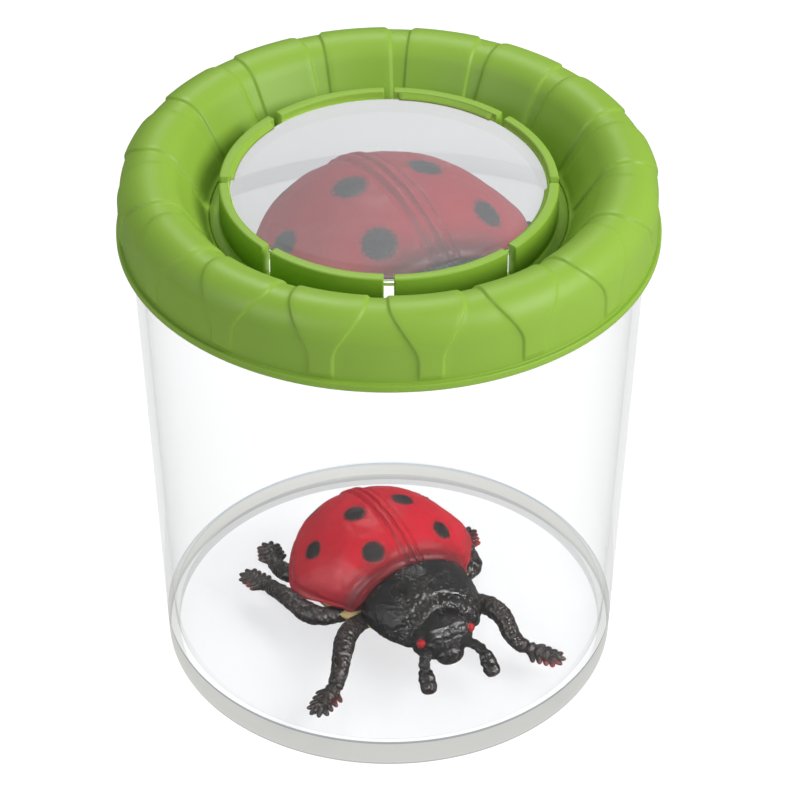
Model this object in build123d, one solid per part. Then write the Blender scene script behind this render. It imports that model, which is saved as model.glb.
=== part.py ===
from build123d import *
from math import atan2, cos, degrees, pi, radians, sin, sqrt, tan
import os

# A bug catcher jar: a clear tapered cup, a green push-on lid with a magnifying lens, and a toy beetle inside.
# Millimetres, +Z up. The origin is the centre of the foot, and the front of the jar faces -Y.

# Clear cup
cup_base_radius = 43.4
cup_rim_radius = 47.85
cup_height = 103.0
cup_wall = 1.5
cup_floor_top = 5.2
cup_floor_thickness = 2.2
cup_foot_width = 2.4
cup_edge_radius = 0.7

# Green lid ring, whose skirt goes outside the cup's rim and whose plug goes inside it
lid_wall = 0.95
skirt_clearance = 0.35
skirt_drop = 9.1
bead_step = 0.45
bead_height = 1.5
arch_radius = 6.05
arch_below_rim = 0.3
inner_slope_angle = 58.0
plug_clearance = 0.25
plug_wall = 1.1
plug_drop = 5.5
seat_rib_count = 8
seat_rib_width = 1.2
seat_rib_height = 1.6

# Raised petal panels round the lid ring
panel_count = 16
panel_height = 0.4
panel_turn = 8.55
panel_fade = 0.8
panel_half_angle_inside = 9.6
panel_half_angle_crest = 8.7
panel_half_angle_shoulder = 5.6
panel_half_angle_skirt = 2.6
panel_shoulder_step = 1.05

# Lens collar, cut into spring fingers that carry and clip the lens by turns
collar_wall = 1.8
collar_height = 6.95
collar_flange_width = 1.9
collar_flange_thickness = 1.4
collar_ledge_width = 1.0
collar_fit = 0.1
trough_drop = 5.4
slot_count = 8
slot_width = 1.9
slot_floor_gap = 0.6
catch_span = 34.0
ledge_reach = 1.8
ledge_thickness = 1.4
hook_reach = 0.9
hook_edge = 0.35
hook_slope = 1.2
hook_clearance = 0.1

# Magnifying lens
lens_radius = 28.9
lens_clearance = 0.3
lens_edge = 1.6
lens_bulge = 2.2
lens_land = 2.0
lens_seat_height = 3.95

# Toy beetle, modelled facing +X and then turned and placed on the cup's floor
beetle_x = -1.8
beetle_y = 5.0
beetle_heading = -63.0
shell_radius = 17.5
shell_rise = 13.0
shell_edge_height = 4.6
shell_front = 12.8
seam_ridge_height = 0.35
seam_ridge_width = 1.2
seam_groove = 0.5
dome_steps = 3
pronotum_centre = 14.2
pronotum_radius = 12.0
pronotum_rise = 9.0
pronotum_front = 24.0
neck_radius = 7.6
belly_centre = 1.5
belly_half_length = 19.0
belly_half_width = 16.2
belly_depth = 3.2
belly_tuck = 2.7
head_centre = 27.0
head_height = 5.7
head_radius = 4.1
head_half_width = 6.2
snout_forward = 3.0
snout_drop = 1.8
snout_radius = 2.3
snout_half_width = 3.1
eye_radius = 1.05
eye_forward = 1.2
eye_side = 5.35
eye_raise = 1.2
antenna_radius = 1.1
antenna_bend = 1.6
club_radius = 1.5
club_length = 4.2
leg_radius = 1.75
leg_bend = 2.2
paw_thickness = 1.7
toe_width = 1.7
toe_spread = 22.0

# Middle lines of the antennae and legs in the beetle's own frame: forward, to its left, and up from the floor
antenna_routes = {
    "left": [(28.4, 3.4, 4.9), (33.0, 5.4, 5.6), (36.4, 5.4, 3.5)],
    "right": [(28.4, -3.8, 4.9), (31.6, -6.8, 5.6), (35.4, -7.6, 3.5)],
}
leg_routes = {
    "front_left": [
        (15.0, 9.0, 3.4),
        (23.5, 14.4, 6.0),
        (31.0, 13.6, 2.4),
        (32.6, 15.6, 1.2),
        (38.1, 19.6, 0.8),
    ],
    "mid_left": [
        (9.5, 9.5, 2.6),
        (9.8, 15.8, 4.2),
        (3.6, 18.0, 2.2),
        (0.6, 19.2, 1.2),
        (-5.0, 21.8, 0.8),
    ],
    "rear_left": [
        (-6.0, 9.5, 2.6),
        (-8.5, 17.2, 3.0),
        (-13.0, 18.4, 1.6),
        (-14.8, 18.0, 1.2),
        (-19.2, 16.4, 0.8),
    ],
    "front_right": [
        (12.5, -8.5, 3.2),
        (16.4, -15.6, 5.2),
        (23.6, -20.6, 2.4),
        (26.0, -22.8, 1.2),
        (30.4, -29.0, 0.8),
    ],
    "mid_right": [
        (9.0, -9.5, 2.6),
        (9.4, -18.8, 4.2),
        (0.5, -20.9, 4.2),
        (-7.0, -21.1, 1.2),
        (-12.6, -23.2, 0.8),
    ],
    "rear_right": [
        (-4.5, -9.5, 2.6),
        (-6.0, -16.6, 3.0),
        (-10.4, -17.2, 1.6),
        (-12.8, -16.9, 1.2),
        (-18.6, -15.6, 0.8),
    ],
}

# Sizes that follow from the ones above
cup_taper = (cup_rim_radius - cup_base_radius) / cup_height
skirt_inner_radius = cup_rim_radius + skirt_clearance
skirt_radius = skirt_inner_radius + lid_wall + panel_height
bead_radius = skirt_radius + bead_step
lid_bottom = cup_height - skirt_drop
bead_top = lid_bottom + bead_height
crest_radius = skirt_radius - arch_radius
arch_centre = cup_height - arch_below_rim
trough_floor = cup_height - trough_drop
flange_bottom = trough_floor - collar_flange_thickness
collar_inner_radius = lens_radius + lens_clearance
collar_radius = collar_inner_radius + collar_wall
collar_top = trough_floor + collar_height
flange_radius = collar_radius + collar_flange_width
lens_seat = trough_floor + lens_seat_height
lens_top_edge = lens_seat + lens_edge
beetle_reach = 4 * shell_radius
standing = (Align.CENTER, Align.CENTER, Align.MIN)


def cup_outer_radius(height):
    """Outer radius of the tapered cup at a height above the table."""
    return cup_base_radius + cup_taper * height


def cup_inner_radius(height):
    """Inner radius of the tapered cup at a height above the table."""
    return cup_outer_radius(height) - cup_wall


def turned(outline):
    """Solid turned about the jar's axis from a closed outline of radius and height."""
    return revolve(Plane.XZ * make_face(outline), Axis.Z)


def polar(radius, angle):
    """Point in plan at a radius and an angle in degrees."""
    return (radius * cos(radians(angle)), radius * sin(radians(angle)))


def around(piece, count, first_angle):
    """Copies of a piece, evenly spaced about the jar's axis."""
    step = 360 / count
    return [Rot(0, 0, first_angle + step * index) * piece for index in range(count)]


def make_cup():
    """Clear cup: tapered wall, floor above a foot ring, and rounded edges."""
    foot_inner_radius = cup_base_radius - cup_foot_width
    floor_bottom = cup_floor_top - cup_floor_thickness
    outline = Polyline(
        (0, floor_bottom),
        (foot_inner_radius, floor_bottom),
        (foot_inner_radius, 0),
        (cup_base_radius, 0),
        (cup_rim_radius, cup_height),
        (cup_rim_radius - cup_wall, cup_height),
        (cup_inner_radius(cup_floor_top), cup_floor_top),
        (0, cup_floor_top),
        close=True,
    )
    section = make_face(outline)
    corners = [(cup_base_radius, 0), (cup_inner_radius(cup_floor_top), cup_floor_top)]
    rounded = [section.vertices().sort_by_distance((*corner, 0))[0] for corner in corners]
    return revolve(Plane.XZ * fillet(rounded, cup_edge_radius), Axis.Z)


def ring_line(depth, low_height):
    """Lid ring's section at a depth below the panels' tops, from the trough over the arch to the skirt."""
    radius = arch_radius - depth
    lean = radians(inner_slope_angle)
    arch_end = (crest_radius - radius * sin(lean), arch_centre + radius * cos(lean))
    slope_run = (arch_end[1] - low_height) / tan(lean)
    slope_foot = (arch_end[0] - slope_run, low_height)
    arch_crown = (crest_radius, arch_centre + radius)
    arch_start = (crest_radius + radius, arch_centre)
    return slope_foot, arch_end, arch_crown, arch_start


def make_panel():
    """One raised panel: a skin over the ring, trimmed to a petal that narrows to a rib down the skirt."""
    skin_depth = panel_height + lid_wall / 2
    foot, end, crown, start = ring_line(0, trough_floor)
    deep_foot, deep_end, deep_crown, deep_start = ring_line(skin_depth, trough_floor)
    low = bead_top + panel_fade
    skin = turned(
        Line(foot, end)
        + ThreePointArc(end, crown, start)
        + Polyline(start, (start[0], low), (deep_start[0], low), deep_start)
        + ThreePointArc(deep_start, deep_crown, deep_end)
        + Polyline(deep_end, deep_foot, foot)
    )
    inside = polar(flange_radius, panel_half_angle_inside)
    crest = polar(crest_radius, panel_half_angle_crest)
    shoulder = polar(skirt_radius - panel_shoulder_step, panel_half_angle_shoulder)
    skirt = polar(skirt_radius, panel_half_angle_skirt)
    outside = polar(bead_radius + bead_step, panel_half_angle_skirt)
    side = Line(inside, crest) + Spline(crest, shoulder, skirt) + Line(skirt, outside)
    petal = make_face(
        side
        + Line(outside, (outside[0], -outside[1]))
        + mirror(side, Plane.XZ)
        + Line((inside[0], -inside[1]), inside)
    )
    prism = Pos(0, 0, lid_bottom) * extrude(petal, skirt_drop + arch_radius)
    return skin & prism


def make_lid_ring():
    """Green lid ring: arched shell, flange bead, plug, seat ribs for the cup's rim, and raised panels."""
    shell_depth = panel_height + lid_wall
    lip_bottom = flange_bottom - collar_ledge_width
    ledge_radius = flange_radius - collar_ledge_width
    foot, end, crown, start = ring_line(panel_height, trough_floor)
    deep_foot, deep_end, deep_crown, deep_start = ring_line(shell_depth, lip_bottom)
    shell = turned(
        Polyline((flange_radius, trough_floor), foot, end)
        + ThreePointArc(end, crown, start)
        + Polyline(
            start,
            (start[0], bead_top),
            (bead_radius, bead_top),
            (bead_radius, lid_bottom),
            (skirt_inner_radius, lid_bottom),
            deep_start,
        )
        + ThreePointArc(deep_start, deep_crown, deep_end)
        + Polyline(
            deep_end,
            deep_foot,
            (ledge_radius, lip_bottom),
            (ledge_radius, flange_bottom),
            (flange_radius, flange_bottom),
            (flange_radius, trough_floor),
        )
    )
    plug_bottom = cup_height - plug_drop
    plug_outer = cup_inner_radius(plug_bottom) - plug_clearance
    plug_inner = plug_outer - plug_wall
    roof_radius = arch_radius - panel_height - lid_wall / 2
    plug_top = arch_centre + sqrt(roof_radius**2 - (plug_outer - crest_radius) ** 2)
    plug = turned(
        Polyline(
            (plug_inner, plug_bottom),
            (plug_outer, plug_bottom),
            (plug_outer, plug_top),
            (plug_inner, plug_top),
            close=True,
        )
    )
    rib_inner = plug_outer - plug_wall / 2
    rib_length = skirt_inner_radius + lid_wall / 2 - rib_inner
    rib = Pos(rib_inner + rib_length / 2, 0, cup_height + seat_rib_height / 2) * Box(
        rib_length, seat_rib_width, seat_rib_height
    )
    panels = around(make_panel(), panel_count, panel_turn)
    return (shell + plug + around(rib, seat_rib_count, panel_turn)) + panels


def make_catch(corners):
    """Catch inside one collar finger, turned through its span from corners of radius and height."""
    section = Plane.XZ * make_face(Polyline(*corners, close=True))
    return Rot(0, 0, -catch_span / 2) * revolve(section, Axis.Z, catch_span)


def make_lens_collar():
    """Lens collar: flanged tube in slotted fingers, with ledges under the lens and hooks over it by turns."""
    tube = turned(
        Polyline(
            (collar_inner_radius, flange_bottom),
            (flange_radius - collar_fit, flange_bottom),
            (flange_radius - collar_fit, trough_floor),
            (collar_radius, trough_floor),
            (collar_radius, collar_top),
            (collar_inner_radius, collar_top),
            close=True,
        )
    )
    slot_bottom = trough_floor + slot_floor_gap
    slot_height = collar_top - slot_bottom
    slot_cut = collar_wall + slot_width
    slot_middle = (collar_inner_radius + collar_radius) / 2
    slot = Pos(slot_middle, 0, slot_bottom) * Box(slot_cut, slot_width, slot_height, align=standing)
    root = collar_inner_radius + collar_wall / 2
    ledge_tip = collar_inner_radius - ledge_reach
    ledge = make_catch(
        [
            (root, lens_seat - ledge_thickness),
            (ledge_tip, lens_seat - ledge_thickness),
            (ledge_tip, lens_seat),
            (root, lens_seat),
        ]
    )
    hook_tip = collar_inner_radius - hook_reach
    hook_bottom = lens_top_edge + hook_clearance
    hook = make_catch(
        [
            (root, hook_bottom),
            (hook_tip, hook_bottom),
            (hook_tip, hook_bottom + hook_edge),
            (collar_inner_radius, hook_bottom + hook_slope),
            (root, hook_bottom + hook_slope),
        ]
    )
    half_finger = 180 / slot_count
    collar = tube - around(slot, slot_count, 0)
    ledges = around(ledge, slot_count // 2, half_finger)
    hooks = around(hook, slot_count // 2, half_finger * 3)
    return collar + ledges + hooks


def make_lens():
    """Biconvex lens with a flat land round it, resting on the collar's ledges."""
    bulge_radius = lens_radius - lens_land
    top_pole = (0, lens_top_edge + lens_bulge)
    bottom_pole = (0, lens_seat - lens_bulge)
    top_edge = (bulge_radius, lens_top_edge)
    bottom_edge = (bulge_radius, lens_seat)
    rim = Polyline(top_edge, (lens_radius, lens_top_edge), (lens_radius, lens_seat), bottom_edge)
    top_face = spherical_line(top_pole, top_edge)
    bottom_face = spherical_line(bottom_pole, bottom_edge)
    return turned(Line(bottom_pole, top_pole) + top_face + rim + bottom_face)


def spherical_line(pole, edge):
    """Arc of a lens face from its pole on the axis to its edge."""
    drop = pole[1] - edge[1]
    ball = (edge[0] ** 2 + drop**2) / (2 * drop)
    centre = pole[1] - ball
    half_turn = pi / 2 - abs(edge[0] / ball) / 2
    middle = (abs(ball) * cos(half_turn), centre + ball * sin(half_turn))
    return ThreePointArc(pole, middle, edge)


def dome(radius, rise):
    """Upper half of a flattened ball, on the level of the wing cases' lower edge."""
    points = []
    for step in range(dome_steps + 1):
        angle = radians(90 * step / dome_steps)
        points.append((radius * cos(angle), rise * sin(angle)))
    oval = Spline(*points, tangents=[(0, 1), (-1, 0)])
    half = turned(oval + Polyline((0, rise), (0, 0), (radius, 0)))
    return Pos(0, 0, shell_edge_height) * half


def capsule(radius, half_length):
    """Round bar with ball ends along Z, about the origin."""
    straight = half_length - radius
    slant = radius * sin(radians(45))
    return turned(
        ThreePointArc((0, -half_length), (slant, -straight - slant), (radius, -straight))
        + Line((radius, -straight), (radius, straight))
        + ThreePointArc((radius, straight), (slant, straight + slant), (0, half_length))
        + Line((0, half_length), (0, -half_length))
    )


def block(low, high):
    """Box between two opposite corners."""
    size = [top - bottom for bottom, top in zip(low, high)]
    middle = [(top + bottom) / 2 for bottom, top in zip(low, high)]
    return Pos(*middle) * Box(*size)


def beetle_place(piece):
    """Piece of the beetle, turned to its heading and set down on the cup's floor."""
    return Pos(beetle_x, beetle_y, cup_floor_top) * Rot(0, 0, beetle_heading) * piece


def slab(back, front, side=beetle_reach):
    """Space between two places along the beetle, to a distance on each side of its middle."""
    return block((back, -side, -beetle_reach), (front, side, beetle_reach))


def make_shell():
    """Both wing cases as one dome, with a ridge on each side of the seam between them."""
    plain = dome(shell_radius, shell_rise)
    raised = dome(shell_radius + seam_ridge_height, shell_rise + seam_ridge_height)
    ridge_zone = slab(-beetle_reach, shell_front, seam_groove / 2 + seam_ridge_width)
    groove_zone = slab(-beetle_reach, shell_front, seam_groove / 2)
    return (plain & slab(-beetle_reach, shell_front)) + ((raised & ridge_zone) - groove_zone)


def make_neck():
    """Upright cylinder that the head fits and the front of the pronotum is hollowed by."""
    return Pos(pronotum_front + neck_radius, 0, 0) * Cylinder(neck_radius, beetle_reach)


def make_pronotum():
    """Saddle-shaped plate behind the head, hollowed in front where the head tucks in."""
    plate = Pos(pronotum_centre, 0, 0) * dome(pronotum_radius, pronotum_rise)
    return (plate & slab(shell_front, beetle_reach)) - make_neck()


def make_belly():
    """Underside of the beetle, below the wing cases and the pronotum."""
    top = Pos(belly_centre, 0, shell_edge_height) * Ellipse(belly_half_length, belly_half_width)
    bottom = Pos(belly_centre, 0, shell_edge_height - belly_depth) * Ellipse(
        belly_half_length - belly_tuck, belly_half_width - belly_tuck
    )
    return loft([bottom, top])


def make_head():
    """Head with a blunt snout, tucked into the hollow of the pronotum."""
    across = Rot(90, 0, 0)
    skull = Pos(head_centre, 0, head_height) * across * capsule(head_radius, head_half_width)
    snout = Pos(head_centre + snout_forward, 0, head_height - snout_drop) * across * capsule(
        snout_radius, snout_half_width
    )
    return (skull + snout) & make_neck()


def make_eye(side, head):
    """Round eye on one side of the head."""
    place = Pos(head_centre + eye_forward, side * eye_side, head_height + eye_raise)
    return place * Sphere(eye_radius) - head


def tube_along(route, radius, bend):
    """Round tube along straight runs joined by arcs."""
    path = FilletPolyline(*route, radius=bend)
    return sweep(Plane(path @ 0, z_dir=path % 0) * Circle(radius), path)


def make_antenna(route, head):
    """Antenna with a thick club at its end."""
    points = [Vector(*point) for point in route]
    stalk = tube_along(points, antenna_radius, antenna_bend)
    club_line = (points[-1] - points[-2]).normalized()
    club = Plane(points[-1], z_dir=club_line) * capsule(club_radius, club_length / 2)
    return stalk + club - head


def make_leg(route, neighbours):
    """Leg that comes out from under the body and ends in a flat paw with three toes."""
    points = [Vector(*point) for point in route]
    limb = tube_along(points[:-1], leg_radius, leg_bend)
    ankle = points[-2]
    toe_line = points[-1] - ankle
    heading = degrees(atan2(toe_line.Y, toe_line.X))
    toe = Pos(toe_line.length / 2, 0, 0) * Box(toe_line.length, toe_width, paw_thickness, align=standing)
    paw = Cylinder(leg_radius, paw_thickness, align=standing)
    for turn in (-toe_spread, 0, toe_spread):
        paw += Rot(0, 0, heading + turn) * toe
    paw = Pos(ankle.X, ankle.Y, 0) * paw
    above_floor = block((-beetle_reach, -beetle_reach, 0), (beetle_reach, beetle_reach, beetle_reach))
    return ((limb & above_floor) + paw) - neighbours


def make_beetle():
    """All pieces of the toy beetle by name, in the beetle's own frame."""
    shell = make_shell()
    pronotum = make_pronotum()
    belly = make_belly()
    head = make_head()
    left_zone = block((-beetle_reach, 0, 0), (beetle_reach, beetle_reach, beetle_reach))
    right_zone = block((-beetle_reach, -beetle_reach, 0), (beetle_reach, 0, beetle_reach))
    pieces = {
        "beetle_wing_case_left": shell & left_zone,
        "beetle_wing_case_right": shell & right_zone,
        "beetle_pronotum": pronotum,
        "beetle_belly": belly,
        "beetle_head": head,
    }
    for name, side in (("left", 1), ("right", -1)):
        pieces["beetle_eye_" + name] = make_eye(side, head)
        pieces["beetle_antenna_" + name] = make_antenna(antenna_routes[name], head)
    for name, route in leg_routes.items():
        pieces["beetle_leg_" + name] = make_leg(route, [shell, pronotum, belly])
    return pieces


parts = {
    "jar_cup": make_cup(),
    "lid_ring": make_lid_ring(),
    "lens_collar": make_lens_collar(),
    "lens": make_lens(),
}
for name, piece in make_beetle().items():
    parts[name] = beetle_place(piece)

os.makedirs("parts", exist_ok=True)
for name, piece in parts.items():
    export_step(piece, f"parts/{name}.step")
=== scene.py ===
import bmesh
import bpy
import numpy as np
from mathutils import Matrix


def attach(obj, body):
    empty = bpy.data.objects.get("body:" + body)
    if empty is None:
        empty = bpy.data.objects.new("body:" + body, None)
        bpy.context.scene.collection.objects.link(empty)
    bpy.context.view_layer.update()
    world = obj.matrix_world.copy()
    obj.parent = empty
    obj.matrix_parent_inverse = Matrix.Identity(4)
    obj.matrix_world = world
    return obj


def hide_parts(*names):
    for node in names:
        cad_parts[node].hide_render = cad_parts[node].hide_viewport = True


# Looks of a bug catcher jar: clear cup, green lid with a magnifying lens, and a toy beetle on the floor.
# Sizes are in millimetres and are turned into metres when a piece is made. The frame is the CAD model's.
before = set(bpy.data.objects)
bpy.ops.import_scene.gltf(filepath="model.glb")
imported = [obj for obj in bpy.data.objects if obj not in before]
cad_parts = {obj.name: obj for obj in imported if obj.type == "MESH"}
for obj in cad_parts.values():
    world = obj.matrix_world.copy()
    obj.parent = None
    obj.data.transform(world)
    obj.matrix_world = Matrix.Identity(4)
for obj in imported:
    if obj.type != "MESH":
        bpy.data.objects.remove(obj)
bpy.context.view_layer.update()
MM = 0.001
MERGE_DISTANCE, SLIVER_LENGTH = 1.5e-6, 1e-7

# Clear cup
CUP_BASE, CUP_RIM, CUP_HEIGHT, CUP_WALL = 43.4, 47.85, 103.0, 1.5
CUP_FLOOR_TOP, CUP_FLOOR_BOTTOM, CUP_FOOT = 5.2, 3.0, 2.1
CUP_TAPER = (CUP_RIM - CUP_BASE) / CUP_HEIGHT

# Green lid ring and its raised petals
LID_BOTTOM, BEAD_TOP, BEAD_RADIUS = 93.9, 95.4, 50.0
SKIRT_INSIDE, LID_WALL = 48.2, 0.95
ARCH_RADIUS, ARCH_HEIGHT, CREST_RADIUS, SLOPE_ANGLE = 6.05, 102.7, 43.5, 58.0
TROUGH_FLOOR, FLANGE_RADIUS, FLANGE_BOTTOM = 97.6, 32.9, 96.2
PLUG_OUTSIDE, PLUG_INSIDE, PLUG_BOTTOM = 45.91, 44.81, 97.5
PETALS, PETAL_TURN, PETAL_HEIGHT, PETAL_SOFT = 16, 8.55, 0.4, 0.34
PETAL_INNER, PETAL_CREST, PETAL_DRAWN_IN = 9.6, 8.7, 6.1
LIP_DROP = 1.0

# Lens collar and lens
COLLAR_INSIDE, COLLAR_OUTSIDE, COLLAR_TOP, FINGER_FOOT = 29.2, 31.0, 104.55, 98.2
FINGERS, SLOT_WIDTH, CATCH_SPAN, CATCH_MARGIN = 8, 1.9, 34.0, 1.6
HOOK_REACH, HOOK_GAP, HOOK_EDGE, HOOK_SLOPE = 0.9, 0.1, 0.35, 1.2
LEDGE_REACH, LEDGE_DEPTH, LEDGE_TOP = 1.8, 1.4, 1.42
LENS_RADIUS, LENS_SEAT, LENS_EDGE_TOP, LENS_BULGE, LENS_LAND = 28.9, 101.55, 103.15, 2.2, 2.0

# Toy beetle, worked out facing +X and then turned and set on the cup's floor
BEETLE_PLACE, BEETLE_HEADING, FLOOR_GAP = (-1.8, 5.0, 5.2), -63.0, 0.02
SHELL_RADIUS, SHELL_RISE, SHELL_EDGE, SHELL_FRONT, SEAM_GAP = 17.5, 13.0, 4.6, 12.8, 0.04
PRONOTUM_CENTRE, PRONOTUM_RADIUS, PRONOTUM_RISE, PRONOTUM_SHIFT = 14.2, 12.0, 9.0, 0.9
NECK_CENTRE, NECK_RADIUS, NECK_BLEND, NECK_LIMIT = 31.6, 7.6, 0.8, 24.8
BELLY_CENTRE, BELLY_LENGTH, BELLY_WIDTH, BELLY_DEPTH, BELLY_TUCK, BELLY_FOLD = 1.5, 19.0, 16.2, 3.2, 2.7, 4.2
SKULL_CENTRE, SKULL_SIZE = (26.8, 0, 5.6), (4.0, 6.1, 3.5)
SNOUT_CENTRE, SNOUT_SIZE = (29.6, 0, 3.9), (2.3, 2.9, 2.2)
EYE_PLACE, EYE_RADIUS = (28.0, 5.35, 6.9), 0.9
FOOT_SIDES, SPUR_PLACES, SPUR_ANGLE, CLAW_ANGLE, CLAW_REACH = (-1, 1), (0.08, 0.3, 0.52, 0.72), 55, 20, 2.8


# Helpers for shapes


def lumps(points, size, seed):
    """Smooth random bumps from -1 to 1: lattice values at every size, blended by a cubic in x, y and z."""
    scaled = points / size
    cell = np.floor(scaled).astype(np.int64)
    part = scaled - cell
    part = part * part * (3 - 2 * part)
    total = np.zeros(points.shape[:-1])
    for corner in np.ndindex(2, 2, 2):
        at = cell + np.array(corner)
        mixed = at[..., 0] * 73856093 ^ at[..., 1] * 19349663 ^ at[..., 2] * 83492791 ^ seed * 265443
        mixed = (mixed ^ (mixed >> 13)) * 1274126177 & 0x7FFFFFFF
        value = (mixed ^ (mixed >> 11)) % 65536 / 32767.5 - 1
        total += value * np.prod(np.where(corner, part, 1 - part), axis=-1)
    return total


def step(value, low, high):
    """Smooth step from 0 at low to 1 at high."""
    part = np.clip((value - low) / (high - low), 0, 1)
    return part * part * (3 - 2 * part)


def bump(value, middle, width):
    """Bell curve of height 1 about middle."""
    return np.exp(-(((value - middle) / width) ** 2))


def rounded(corners, closed=True, turns=6):
    """Line through corners of (radius, height, fillet), each fillet a quadratic curve between its ends."""
    corners = np.array(corners, float)
    line = []
    count = len(corners)
    share = np.linspace(0, 1, turns)[:, None]
    for index, (radius, height, fillet) in enumerate(corners):
        here = np.array([radius, height])
        at_end = not closed and index in (0, count - 1)
        if fillet == 0 or at_end:
            line.append(here[None])
            continue
        before = corners[index - 1, :2] - here
        after = corners[(index + 1) % count, :2] - here
        first = here + before / np.linalg.norm(before) * fillet
        last = here + after / np.linalg.norm(after) * fillet
        line.append((1 - share) ** 2 * first + 2 * share * (1 - share) * here + share**2 * last)
    return np.concatenate(line)


def filled(line, spacing, closed=False):
    """The same line with points added so that no run is longer than spacing."""
    if closed:
        line = np.concatenate([line, line[:1]])
    runs = np.linalg.norm(np.diff(line, axis=0), axis=1)
    pieces = [
        start + (end - start) * np.arange(parts)[:, None] / parts
        for start, end, parts in zip(line[:-1], line[1:], np.maximum(1, np.ceil(runs / spacing)).astype(int))
    ]
    return np.concatenate(pieces if closed else pieces + [line[-1:]])


def turned(line, steps):
    """Line of radius and height carried round the jar's axis: rows follow the line, columns the turn."""
    angle = np.linspace(0, 2 * np.pi, steps, endpoint=False)
    return np.stack(
        [
            line[:, :1] * np.cos(angle),
            line[:, :1] * np.sin(angle),
            np.repeat(line[:, 1:], steps, axis=1),
        ],
        axis=-1,
    )


def quads(rows, columns, round_rows, round_columns):
    """Four-cornered faces of a grid, closed on itself along rows or columns where asked."""
    row = np.arange(rows if round_rows else rows - 1)[:, None]
    column = np.arange(columns if round_columns else columns - 1)[None]
    next_row = (row + 1) % rows
    next_column = (column + 1) % columns
    corners = [row * columns + column, row * columns + next_column]
    corners += [next_row * columns + next_column, next_row * columns + column]
    return np.stack(np.broadcast_arrays(*corners), axis=-1).reshape(-1, 4)


def make_piece(name, patches, material, body, nodes):
    """One smooth mesh from grids of points in millimetres, merged where they meet, faces turned outwards."""
    corners = []
    faces = []
    start = 0
    for points, round_rows, round_columns in patches:
        faces.append(quads(points.shape[0], points.shape[1], round_rows, round_columns) + start)
        corners.append(points.reshape(-1, 3) * MM)
        start += points.shape[0] * points.shape[1]
    mesh = bpy.data.meshes.new(name)
    mesh.from_pydata(np.concatenate(corners).tolist(), [], np.concatenate(faces).tolist())
    work = bmesh.new()
    work.from_mesh(mesh)
    bmesh.ops.remove_doubles(work, verts=work.verts, dist=MERGE_DISTANCE)
    bmesh.ops.dissolve_degenerate(work, edges=work.edges, dist=SLIVER_LENGTH)
    bmesh.ops.recalc_face_normals(work, faces=work.faces)
    work.to_mesh(mesh)
    work.free()
    mesh.polygons.foreach_set("use_smooth", np.full(len(mesh.polygons), True))
    mesh.materials.append(material)
    piece = bpy.data.objects.new(name, mesh)
    bpy.context.scene.collection.objects.link(piece)
    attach(piece, body)
    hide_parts(*nodes)
    return piece


# Helpers for materials


def new_material(name):
    """Empty node material with its output."""
    material = bpy.data.materials.new(name)
    material.use_nodes = True
    tree = material.node_tree
    tree.nodes.clear()
    return material, tree, put(tree, "ShaderNodeOutputMaterial")


def put(tree, kind, **settings):
    """New node with its properties set, and its sockets where a setting has a socket's name."""
    node = tree.nodes.new(kind)
    for key, value in settings.items():
        if hasattr(node, key):
            setattr(node, key, value)
        else:
            node.inputs[key.replace("_", " ")].default_value = value
    return node


def math(tree, operation, first, second=0.0, third=0.0):
    """Math node of two or three numbers or sockets; gives its output."""
    node = put(tree, "ShaderNodeMath", operation=operation)
    for socket, value in zip(node.inputs, (first, second, third)):
        if isinstance(value, (int, float)):
            socket.default_value = value
        else:
            tree.links.new(value, socket)
    return node.outputs[0]


def mix_colour(tree, factor, first, second):
    """Mix of two colours, each a socket or a colour; gives the result."""
    node = put(tree, "ShaderNodeMix", data_type="RGBA")
    for socket, value in zip((node.inputs[0], node.inputs[6], node.inputs[7]), (factor, first, second)):
        if isinstance(value, (int, float, tuple)):
            socket.default_value = value
        else:
            tree.links.new(value, socket)
    return node.outputs[2]


def mix_shaders(tree, factor, first, second):
    """Mix of two shaders by a factor socket; gives the result."""
    node = put(tree, "ShaderNodeMixShader")
    for socket, value in zip(node.inputs, (factor, first.outputs[0], second.outputs[0])):
        tree.links.new(value, socket)
    return node


def split_axes(tree, place):
    """Sockets of a vector's X, Y and Z."""
    node = put(tree, "ShaderNodeSeparateXYZ")
    tree.links.new(place, node.inputs[0])
    return node.outputs


def make_grain_group():
    """Shared grain of moulded and painted plastic: fine and broad noise, as a value and as a height."""
    tree = bpy.data.node_groups.new("moulded_grain", "ShaderNodeTree")
    for name in ("Fine Scale", "Broad Scale", "Fine Share"):
        tree.interface.new_socket(name, in_out="INPUT", socket_type="NodeSocketFloat")
    for name in ("Broad", "Height"):
        tree.interface.new_socket(name, in_out="OUTPUT", socket_type="NodeSocketFloat")
    inside = put(tree, "NodeGroupInput")
    outside = put(tree, "NodeGroupOutput")
    place = put(tree, "ShaderNodeTexCoord").outputs["Object"]
    fine = put(tree, "ShaderNodeTexNoise", Detail=2.0, Roughness=0.55)
    broad = put(tree, "ShaderNodeTexNoise", Detail=3.0, Roughness=0.5)
    for noise, name in ((fine, "Fine Scale"), (broad, "Broad Scale")):
        tree.links.new(place, noise.inputs["Vector"])
        tree.links.new(inside.outputs[name], noise.inputs["Scale"])
    share = math(tree, "MULTIPLY", fine.outputs["Fac"], inside.outputs["Fine Share"])
    tree.links.new(broad.outputs["Fac"], outside.inputs["Broad"])
    tree.links.new(math(tree, "ADD", share, broad.outputs["Fac"]), outside.inputs["Height"])
    return tree


grain_group = make_grain_group()


def add_grain(tree, fine_scale, broad_scale, fine_share):
    """The shared grain with a material's own values."""
    node = put(tree, "ShaderNodeGroup")
    node.node_tree = grain_group
    node.inputs["Fine Scale"].default_value = fine_scale
    node.inputs["Broad Scale"].default_value = broad_scale
    node.inputs["Fine Share"].default_value = fine_share
    return node


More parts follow.
